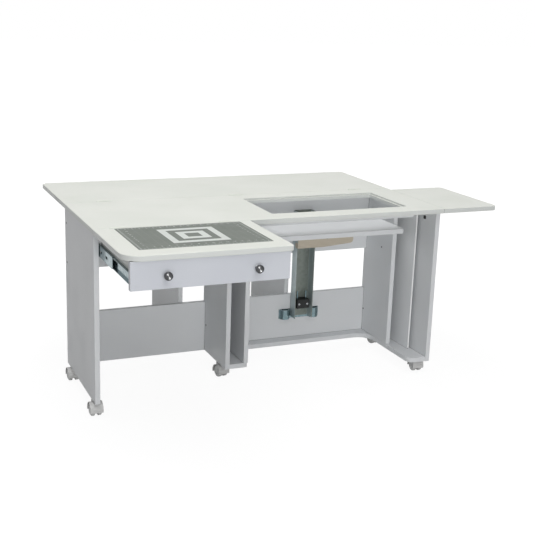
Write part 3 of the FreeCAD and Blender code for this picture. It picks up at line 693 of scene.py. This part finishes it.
class Finishes:
    """Every finish on the table, by slot or fitting."""

    def __init__(self) -> None:
        """Builds the materials."""
        white = {"band": "ced1d1", "rubbed": "b0b2b4"}
        # painted shade between the caster wheels and under the hoods
        caster_gap_shade = Seam(12.0 * MM, 0.55)
        mat_ink = "d8dcd8"
        mat_low, mat_high = (tuple(corner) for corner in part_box("cutting_mat"))
        knob_low, knob_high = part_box("drawer_knobs")
        knob_radius = (knob_high.z - knob_low.z) / 2
        knob_centre = (knob_low.x + knob_radius, knob_low.y, knob_low.z + knob_radius)
        knob_pitch = knob_high.x - knob_low.x - 2 * knob_radius
        finishes = {
            Slot.TOP: BoardFinish("e9ebe4", "e2e5dd", "d3d6d4", "c2c4c0", 0.4, band_level=0.9),
            Slot.CARCASS: BoardFinish("dee0e2", "d8dadc", **white),
            Slot.INSERT: BoardFinish("eaeced", "e5e7e9", "eceded", "e2e4e5", band_level=1.0, broad_face=Face.SIDE),
            Slot.DRAWER_FRONT: BoardFinish("cfd2d8", "c9ccd3", **white),
            Slot.DRAWER_BOX: BoardFinish("dcdddb", "d3d5d3", **white),
            Slot.MAT: MatFinish("696f68", "606760", mat_ink, "8e938c", mat_low, mat_high),
            # ecedee is the colour of the painted highlight fans on the knob faces
            Slot.KNOB: SpunFinish("545557", "3a3b3d", "ecedee", knob_centre, knob_pitch, 0.12),
            Slot.SLIDE: SteelFinish("82969b", "748a90", "e2e6e7", 0.15, metallic=0.75),
            # the column's side colour is a painted reflection on its flanges
            Slot.LIFT: SteelFinish("808781", "7a817b", "bec5c5", 0.46, metallic=0.5, side="bac6c8"),
            Slot.BLOCK: PlasticFinish("090b0b", "1e2222", 0.6),
            Slot.TIMBER: TimberFinish("cac1b1", "aaa08e", "d4cdc0", "484238"),
            Slot.WHITE_HINGE: PlasticFinish("e5e8e0", "d8dbd4", 0.4, texture=0.05),
            Slot.HINGE: SteelFinish("bec0c2", "a8abae", "e4e6e7", 0.26, crystals=140.0),
            Slot.FOOT: PlasticFinish("bebebc", "d6d6d4", 0.45),
            Slot.HOOD: PlasticFinish("cececd", "e0e0de", 0.4, gap=caster_gap_shade),
            Slot.WHEEL: PlasticFinish("c6c7c6", "a6a7a7", 0.44, gap=caster_gap_shade),
            Fitting.INK: InkFinish(mat_ink, "babeb8"),
            Fitting.SCREW: SteelFinish("babdbe", "969a9c", "e6e8e9", 0.25, crystals=700.0),
            Fitting.DARK_SCREW: SteelFinish("545456", "3c3c3e", "969698", 0.36, crystals=700.0),
        }
        self.by_coat = {coat: finish.build(coat.value) for coat, finish in finishes.items()}

    def dress_nodes(self) -> None:
        """Puts each node's finish, by its slot in the record, on its object."""
        for node, slot in NODE_SLOTS.items():
            materials = frame["nodes"][node].data.materials
            materials.clear()
            materials.append(self.by_coat[slot])


def full_turn(segments: int) -> np.ndarray:
    """Evenly spaced angles of one full turn."""
    return np.arange(segments) * 2 * math.pi / segments


def grid_faces(rows: int, columns: int) -> np.ndarray:
    """Quads of a grid of points, row by row, with the last column joined to the first.

    Args:
        rows: number of rows of points.
        columns: number of points in a row.

    Returns:
        An array of four point numbers a face.
    """
    row, column = np.meshgrid(np.arange(rows - 1), np.arange(columns), indexing="ij")
    here, after = row * columns + column, row * columns + (column + 1) % columns
    return np.stack([here, after, after + columns, here + columns], axis=-1).reshape(-1, 4)


def turned(profile: np.ndarray, segments: int) -> np.ndarray:
    """Points of a turned surface: each (radius, height) of the profile is carried round the Z axis.

    Args:
        profile: radii and heights, one row a point.
        segments: steps in the full turn.

    Returns:
        A grid of points, profile by turn.
    """
    angle = full_turn(segments)
    radius, height = profile[:, :1], profile[:, 1:]
    return np.stack([radius * np.cos(angle), radius * np.sin(angle), height + 0 * angle], axis=-1)


def rounded(corners: np.ndarray, steps: int = 6) -> np.ndarray:
    """A profile whose corners are quadratic curves between points set back along both sides.

    Args:
        corners: radius, height and set-back, one row a corner.
        steps: points on each curve.

    Returns:
        The (radius, height) points.
    """
    points, set_back = corners[:, :2], corners[:, 2:]
    sides = (np.roll(points, shift, axis=0) - points for shift in (1, -1))
    starts, ends = (points + side / np.linalg.norm(side, axis=1, keepdims=True) * set_back for side in sides)
    t = np.linspace(0.0, 1.0, steps)[None, :, None]
    curves = (1 - t) ** 2 * starts[:, None] + 2 * t * (1 - t) * points[:, None] + t ** 2 * ends[:, None]
    return curves.reshape(-1, 2)


def aimed(points: np.ndarray, origin: Point, axis: Point) -> np.ndarray:
    """Lays points built about Z along an axis from an origin."""
    turn = np.array(Vector(axis).to_track_quat("Z", "Y").to_matrix())
    return points @ turn.T + np.array(origin)


def linked(name: str, data: ID) -> Object:
    """A new object of a mesh, curve, light or camera, linked to the scene."""
    made = bpy.data.objects.new(name, data)
    bpy.context.scene.collection.objects.link(made)
    return made


def closed_mesh(name: str, vertices: np.ndarray, faces: np.ndarray, sharp: float) -> Mesh:
    """A mesh with its seams closed, its faces turned outwards and its curves shaded smooth.

    Args:
        name: the mesh's name.
        vertices: points in the rest frame's metres, one a row.
        faces: point numbers, one face a row.
        sharp: edges that turn by more than these degrees stay crisp.

    Returns:
        The new mesh.
    """
    mesh = bpy.data.meshes.new(name)
    mesh.from_pydata(vertices.tolist(), [], faces.tolist())
    work = bmesh.new()
    work.from_mesh(mesh)
    bmesh.ops.remove_doubles(work, verts=work.verts, dist=WELD_DISTANCE)
    bmesh.ops.dissolve_degenerate(work, edges=work.edges, dist=SLIVER_LENGTH)
    bmesh.ops.recalc_face_normals(work, faces=work.faces)
    work.to_mesh(mesh)
    work.free()
    mesh.shade_smooth()
    mesh.set_sharp_from_angle(angle=math.radians(sharp))
    return mesh


@dataclass
class Bench:
    """Turns meshes into pieces that are dressed and set on their bodies."""
    finishes: Finishes
    copy_sharp: float = 30.0

    def carry(self, name: str, mesh: Mesh, body: str, coat: Coat) -> Object:
        """Makes the object of a mesh, dresses it and sets it on its body.

        Args:
            name: the piece's name.
            mesh: its mesh.
            body: the body it rides on.
            coat: its finish.

        Returns:
            The new object.
        """
        mesh.materials.append(self.finishes.by_coat[coat])
        piece = linked(name, mesh)
        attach(piece, body)
        log.info("%s on %s: %d faces", name, body, len(mesh.polygons))
        return piece

    def piece(self, name: str, grids: list[np.ndarray], body: str, coat: Coat, sharp: float = 40.0) -> Object:
        """Makes one piece from grids of points.

        Args:
            name: the piece's name.
            grids: grids of points, rows by columns, whose columns close in a ring.
            body: the body it rides on.
            coat: its finish.
            sharp: edges that turn by more than these degrees stay crisp.

        Returns:
            The new object.
        """
        starts = np.cumsum([0] + [grid.shape[0] * grid.shape[1] for grid in grids])
        vertices = np.concatenate([grid.reshape(-1, 3) for grid in grids])
        faces = np.concatenate([grid_faces(*grid.shape[:2]) + start for grid, start in zip(grids, starts)])
        return self.carry(name, closed_mesh(name, vertices, faces, sharp), body, coat)

    def smooth_copy(self, node: str) -> None:
        """Makes a copy of a node, joined and with its curves shaded smooth, that stands for the node.

        Args:
            node: the node's name.
        """
        source = frame["nodes"][node].data
        places = np.empty(3 * len(source.vertices), np.float32)
        corners = np.empty(len(source.loops), np.int32)
        source.vertices.foreach_get("co", places)
        source.loops.foreach_get("vertex_index", corners)
        name = "smooth_" + node
        mesh = closed_mesh(name, places.reshape(-1, 3), corners.reshape(-1, 3), self.copy_sharp)
        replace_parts(self.carry(name, mesh, NODE_BODIES[node], NODE_SLOTS[node]), node)


@dataclass(frozen=True)
class Screw:
    """A pan-head screw with a cross recess. Rings and the recess's reach are shares of the radius."""
    radius: float = 3.6 * MM
    height: float = 1.3 * MM
    recess: float = 0.7 * MM
    slot_half: float = 0.42 * MM
    slot_reach: float = 0.62
    crown: float = 0.85
    rings: tuple[float, ...] = (1.0, 1.0, 0.92, 0.8, 0.62, 0.5, 0.38, 0.25, 0.12, 0.0)
    segments: int = 32

    def points(self, origin: Point, axis: Point, size: float) -> np.ndarray:
        """Points of the head: a dome over a polar grid, sunk where the place is inside the cross.

        Args:
            origin: the middle of the seat.
            axis: the way that the head faces.
            size: scale of the head.

        Returns:
            A grid of points, rim to middle by turn.
        """
        ring, angle = np.array(self.rings)[:, None], full_turn(self.segments)[None, :]
        x, y = self.radius * ring * np.cos(angle), self.radius * ring * np.sin(angle)
        dome = self.height * np.sqrt(1.0 - self.crown * ring ** 2) + 0 * angle
        dome[0] = 0.0
        sunk = (np.minimum(np.abs(x), np.abs(y)) < self.slot_half) & (ring <= self.slot_reach)
        return aimed(size * np.stack([x, y, dome - self.recess * sunk], axis=-1), origin, axis)


@dataclass
class ScrewRows:
    """All screw heads on the table. A wall's are given by depth behind the top's front edge and by height."""
    bench: Bench
    screw: Screw = Screw()
    walls: tuple = (
        ("left_panel_screws", "left_end_panel", ((0.439, 0.638), (0.439, 0.481))),
        ("mid_leg_screws", "mid_leg_left_wall", ((0.422, 0.171),)),
        ("right_leg_screws", "right_leg_inner_wall", ((0.432, 0.173), (0.304, 0.487))))
    block_spread: float = 19.0 * MM
    block_size: float = 1.2
    bearer_inset: tuple[float, float] = (128.0 * MM, 16.0 * MM)
    bearer_size: float = 1.3
    gate_plate: float = 3.0 * MM
    gate_reach: float = 20.0 * MM
    gate_ends: tuple[float, float] = (14.0 * MM, 50.0 * MM)
    drop_plate: float = 1.5 * MM
    drop_reach: float = 19.0 * MM
    drop_ends: tuple[float, float] = (14.0 * MM, 56.0 * MM)

    def row(self, name: str, places: list[Point], axis: Point, body: Body, coat: Fitting = Fitting.SCREW,
            size: float = 1.0) -> None:
        """Makes one piece of several screw heads.

        Args:
            name: the piece's name.
            places: where each head seats.
            axis: the way that the heads face.
            body: the body they ride on.
            coat: their finish.
            size: scale of the head.
        """
        self.bench.piece(name, [self.screw.points(place, axis, size) for place in places], body.value, coat)

    def build(self) -> None:
        """Places the screws that the photo shows, and those of the hinges, bearer and stop block."""
        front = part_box("main_top")[0].y
        for name, wall, spots in self.walls:
            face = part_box(wall)[0].x
            self.row(name, [(face, front + depth, z) for depth, z in spots], (-1, 0, 0), Body.CARCASS,
                     Fitting.DARK_SCREW)
        low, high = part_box("lift_stop_block")
        middle = (low + high) / 2
        spots = [(middle.x + way * self.block_spread, low.y, middle.z) for way in (-1, 1)]
        self.row("stop_block_screws", spots, (0, -1, 0), Body.CARCASS, size=self.block_size)
        low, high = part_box("lift_bearer")
        along, down = self.bearer_inset
        self.row("bearer_screws", [(low.x + along, low.y, high.z - down)], (0, -1, 0), Body.LIFT,
                 Fitting.DARK_SCREW, self.bearer_size)
        for body, way in ((Body.GATE_LEFT, -1), (Body.GATE_RIGHT, 1)):
            self._gate_screws(body, way)
        self._drop_screws()

    @staticmethod
    def _ends(low: float, high: float, steps: tuple[float, float]) -> list[float]:
        """Places at some steps in from both ends of a hinge."""
        return [low + step for step in steps] + [high - step for step in steps]

    def _gate_screws(self, body: Body, way: int) -> None:
        """Screws in both plates of a gate leg's hinge.

        Args:
            body: the gate.
            way: 1 where the fixed plate lies towards +X, or -1.
        """
        gate = body.value
        x, y, _ = JOINTS[gate + "_swing"]["pos_m"]
        low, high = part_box(gate + "_hinge_flaps")
        heights = self._ends(low.z, high.z, self.gate_ends)
        self.row(gate + "_flap_screws", [(x - way * self.gate_plate, y + self.gate_reach, z) for z in heights],
                 (way, 0, 0), body)
        self.row(gate + "_plate_screws", [(x + way * self.gate_reach, y - self.gate_plate, z) for z in heights],
                 (0, 1, 0), Body.CARCASS)

    def _drop_screws(self) -> None:
        """Screws in both plates of the right leaf's hinge."""
        x, _, z = JOINTS["right_leaf_drop"]["pos_m"]
        low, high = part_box("right_leaf_hinge_flaps")
        depths = self._ends(low.y, high.y, self.drop_ends)
        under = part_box("right_leaf")[0].z - self.drop_plate
        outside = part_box("right_leg_outer_wall")[1].x + self.drop_plate
        self.row("drop_leaf_screws", [(x + self.drop_reach, y, under) for y in depths], (0, 0, -1), Body.RIGHT_LEAF)
        self.row("drop_plate_screws", [(outside, y, z - self.drop_reach) for y in depths], (1, 0, 0), Body.CARCASS)


@dataclass
class Knobs:
    """Two turned drawer knobs with a collared neck and a dished, ringed face.

    A corner of the profile is its radius, its height off the drawer and its set-back, in mm.
    """
    bench: Bench
    profile: tuple[Point, ...] = (
        (0.0, 0.0, 0.0), (8.0, 0.0, 0.0), (8.0, 1.4, 0.5), (6.5, 2.6, 1.2), (6.5, 8.0, 3.0), (14.5, 16.0, 2.5),
        (14.5, 24.8, 1.5), (12.5, 25.0, 1.0), (11.1, 25.0, 0.5), (9.9, 23.0, 0.8), (4.0, 22.8, 1.5), (0.0, 23.8, 0.0))
    segments: int = 56
    sharp: float = 50.0

    def build(self) -> None:
        """Makes both knobs as one piece, which stands for the plain solid."""
        low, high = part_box("drawer_knobs")
        corners = MM * np.array(self.profile)
        radius = corners[:, 0].max()
        shape = turned(rounded(corners), self.segments)
        grids = [aimed(shape, (x, high.y, (low.z + high.z) / 2), (0, -1, 0))
                 for x in (low.x + radius, high.x - radius)]
        piece = self.bench.piece("turned_knobs", grids, Body.DRAWER.value, Slot.KNOB, sharp=self.sharp)
        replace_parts(piece, "drawer_knobs")


@dataclass
class Casters:
    """Hooded twin-wheel casters. A wheel has a grooved tread, a domed face and a stepped hub cap.

    A corner of the wheel's profile is its radius, its place along the axle and its set-back, in mm.
    """
    bench: Bench
    wheel: tuple[Point, ...] = (
        (3.0, 6.5, 0.0), (25.0, 6.5, 1.2), (25.0, 10.9, 0.3), (24.3, 11.3, 0.2), (24.3, 12.1, 0.2), (25.0, 12.5, 0.3),
        (25.0, 17.5, 3.5), (16.5, 22.5, 3.0), (9.0, 22.9, 0.4), (8.6, 22.1, 0.3), (7.6, 22.1, 0.3), (7.2, 23.2, 0.4),
        (0.0, 23.5, 0.0))
    segments: int = 64

    def build(self) -> None:
        """Makes the wheels of every caster, one profile and its mirror turned together, and the smooth hoods."""
        outer = rounded(MM * np.array(self.wheel))
        shape = turned(np.concatenate([outer[::-1] * np.array([1.0, -1.0]), outer]), self.segments)
        for body in frame["bodies"]:
            if body.startswith("caster_") and body.endswith("_wheels"):
                roll = JOINTS[body.replace("_wheels", "_roll")]
                grid = aimed(shape, roll["pos_m"], roll["axis"])
                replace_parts(self.bench.piece("twin_" + body, [grid], body, Slot.WHEEL), body)
                self.bench.smooth_copy(body.replace("_wheels", "_hood"))


@dataclass
class MatNumerals:
    """Ruler numbers along the four sides of the mat's printed frame."""
    bench: Bench
    height: float = 8.0 * MM
    height_share: float = 0.7
    inset: float = 30.0 * MM
    rear_inset: float = 19.0 * MM
    stand: float = 0.08 * MM

    def build(self) -> None:
        """Makes all the numbers as one flat mesh just over the mat."""
        low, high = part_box("cutting_mat")
        middle = (low + high) / 2 + Vector(MatFinish.shift)
        half_columns, half_rows = (int((high[i] - low[i]) / 2 / INCH) - 1 for i in (0, 1))
        joined = bmesh.new()
        for column in range(-half_columns, half_columns + 1):
            for y in (low.y + self.inset, high.y - self.rear_inset):
                joined.from_mesh(self._number(column + half_columns + 1, middle.x + column * INCH, y, high.z))
        for row in range(-half_rows + 1, half_rows):
            for x in (low.x + self.inset, high.x - self.inset):
                joined.from_mesh(self._number(row + half_rows + 1, x, middle.y + row * INCH, high.z))
        mesh = bpy.data.meshes.new("mat_numbers")
        joined.to_mesh(mesh)
        joined.free()
        self.bench.carry("mat_numbers", mesh, Body.MAT_LEAF.value, Fitting.INK)

    def _number(self, value: int, x: float, y: float, z: float) -> Mesh:
        """One number as a flat mesh at its place.

        Args:
            value: the number.
            x, y, z: the middle of the number, on the mat.

        Returns:
            The mesh in the rest frame.
        """
        curve = bpy.data.curves.new("number", "FONT")
        curve.body = str(value)
        curve.size = self.height / self.height_share
        curve.align_x, curve.align_y = "CENTER", "CENTER"
        holder = linked("number", curve)
        bpy.context.view_layer.update()
        mesh = bpy.data.meshes.new_from_object(holder.evaluated_get(bpy.context.evaluated_depsgraph_get()))
        bpy.data.objects.remove(holder)
        mesh.transform(Matrix.Translation((x, y, z + self.stand)))
        return mesh


@dataclass
class DoorCatch:
    """A small dark catch on the inside of the right leg's outer wall."""
    bench: Bench
    half: Point = (3.0 * MM, 5.0 * MM, 7.0 * MM)
    power: float = 0.35
    depth: float = 102.0 * MM
    height: float = 656.0 * MM
    rows: int = 17
    segments: int = 40

    def build(self) -> None:
        """Makes the catch: a superellipsoid over two angles, flattened to a soft-edged block."""
        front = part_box("main_top")[0].y
        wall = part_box("right_leg_outer_wall")[0].x
        u = np.linspace(-math.pi / 2, math.pi / 2, self.rows)[:, None]
        v = full_turn(self.segments)[None, :]

        def soft(value: np.ndarray) -> np.ndarray:
            """A signed power that squares a circle off."""
            return np.sign(value) * np.abs(value) ** self.power

        unit = np.stack([soft(np.cos(u)) * soft(np.cos(v)), soft(np.cos(u)) * soft(np.sin(v)),
                         soft(np.sin(u)) + 0 * v], axis=-1)
        place = np.array([wall - self.half[0], front + self.depth, self.height])
        self.bench.piece("door_catch", [unit * np.array(self.half) + place], Body.CARCASS.value, Slot.BLOCK)


@dataclass
class SmoothPieces:
    """Pieces with curved walls, shaded smooth over their exact solids."""
    bench: Bench
    nodes: tuple[str, ...] = (
        "mat_leaf", "rear_leaf", "right_leaf", "base_board", "lift_column", "lift_brackets", "lift_carriage",
        "lift_stop_block", "lift_stop_studs", "gate_left_foot", "gate_right_foot", "fold_hinge_fixed_flaps",
        "carcass_hinge_flaps", "rear_leaf_hinge_flaps", "mat_leaf_hinge_flaps", "right_leaf_hinge_flaps",
        "gate_left_hinge_flaps", "gate_right_hinge_flaps", "slide_middle_members", "gate_left_panel",
        "gate_right_panel", "lift_platform", "well_insert")

    def build(self) -> None:
        """Makes a smooth copy of each."""
        for node in self.nodes:
            self.bench.smooth_copy(node)


@dataclass(frozen=True)
class Lamp:
    """A square soft lamp: its place, side, power in watts, and whether glossy surfaces show it."""
    name: str
    place: Point
    size: float
    power: float
    mirrored: bool = True

    def hang(self, target: Point) -> None:
        """Hangs the lamp.

        Args:
            target: the point that it faces.
        """
        light = bpy.data.lights.new(self.name, "AREA")
        light.size, light.energy = self.size, self.power
        lamp = linked(self.name, light)
        lamp.location, lamp.visible_glossy = self.place, self.mirrored
        lamp.rotation_euler = (Vector(target) - Vector(self.place)).to_track_quat("-Z", "Y").to_euler()


@dataclass
class Studio:
    """Pale floor, soft lamps, white surroundings and the photo's camera."""
    floor_half: float = 30.0
    floor_tone: tuple[float, ...] = (0.62, 0.62, 0.62, 1.0)
    floor_roughness: float = 0.9
    floor_gloss: float = 0.1
    floor_glow: float = 1.1
    shadow_reach: tuple[float, float] = (0.9, 1.8)
    shadow_white: float = 0.85
    sky: float = 0.08
    lamps: tuple[Lamp, ...] = (
        Lamp("top", (-0.6, 0.1, 4.2), 3.4, 86.0),
        Lamp("front_left", (-3.0, -4.4, 1.3), 2.4, 13.0, mirrored=False),
        Lamp("front_low", (-1.0, -4.8, 1.0), 1.9, 76.0, mirrored=False),
        Lamp("front_high", (-0.6, -3.2, 4.6), 3.2, 76.0),
        Lamp("rear", (0.7, 5.2, 0.85), 1.5, 92.0, mirrored=False),
        Lamp("right", (5.3, 0.5, 0.85), 1.5, 78.0, mirrored=False))
    target: Point = (0.0, 0.0, 0.4)
    lens: float = 67.36
    sensor: float = 36.0
    far_clip: float = 200.0
    azimuth: float = math.radians(-23.624)
    elevation: float = math.radians(14.928)
    roll: float = math.radians(-1.955)
    from_corner: Point = (-0.79304, -3.33279, 1.49329)

    def build(self) -> None:
        """Builds the floor, the world, the lamps and the camera."""
        self._floor()
        self._world()
        for lamp in self.lamps:
            lamp.hang(self.target)
        self._camera()
        bpy.context.scene.view_settings.view_transform = "Standard"

    def _floor(self) -> None:
        """A pale floor that keeps the shadow near the table and is plain white to the camera further off."""
        mesh = bpy.data.meshes.new("floor")
        side = self.floor_half
        mesh.from_pydata([(-side, -side, 0), (side, -side, 0), (side, side, 0), (-side, side, 0)], [], [(0, 1, 2, 3)])
        material, graph, shader = new_material("pale_floor")
        graph.fill(shader, Base_Color=self.floor_tone, Roughness=self.floor_roughness,
                   Specular_IOR_Level=self.floor_gloss)
        white = graph.node("Emission", Color=WHITE, Strength=self.floor_glow)
        distance = graph.vector("LENGTH", graph.place(), out="Value")
        whiteness = graph.times(graph.seen(), graph.step(distance, *self.shadow_reach, self.shadow_white, 1.0))
        mixed = graph.node("MixShader", None, whiteness, shader.outputs[0], white.outputs[0])
        graph.fill(material.node_tree.nodes["Material Output"], Surface=mixed.outputs[0])
        mesh.materials.append(material)
        linked("floor", mesh)

    def _world(self) -> None:
        """White to the camera and in reflections, a soft grey as light."""
        world = bpy.data.worlds.new("studio")
        bpy.context.scene.world = world
        world.use_nodes = True
        graph = Graph(world.node_tree)
        graph.fill(world.node_tree.nodes["Background"], Color=WHITE,
                   Strength=graph.step(graph.seen(), 0.0, 1.0, self.sky, 1.0))

    def _camera(self) -> None:
        """The photo's camera, placed from the front left corner of the main top and turned by its three angles."""
        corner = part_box("main_top")[0]
        spot = Vector((corner.x, corner.y, 0.0)) + Vector(self.from_corner)
        turn = (Matrix.Rotation(self.azimuth, 4, "Z") @ Matrix.Rotation(math.pi / 2 - self.elevation, 4, "X")
                @ Matrix.Rotation(-self.roll, 4, "Z"))
        data = bpy.data.cameras.new("photo_camera")
        data.lens, data.sensor_width, data.clip_end = self.lens, self.sensor, self.far_clip
        camera = linked("photo_camera", data)
        camera.matrix_world = Matrix.Translation(spot) @ turn
        bpy.context.scene.camera = camera


def main() -> None:
    """Builds every class in order."""
    logging.basicConfig(level=logging.INFO, format="%(name)s: %(message)s")
    Effects().build()
    finishes = Finishes()
    finishes.dress_nodes()
    bench = Bench(finishes)
    for part in (SmoothPieces(bench), Casters(bench), Knobs(bench), ScrewRows(bench), MatNumerals(bench),
                 DoorCatch(bench), Studio()):
        part.build()
        log.info("built %s", type(part).__name__)


if __name__ == "__main__":
    main()
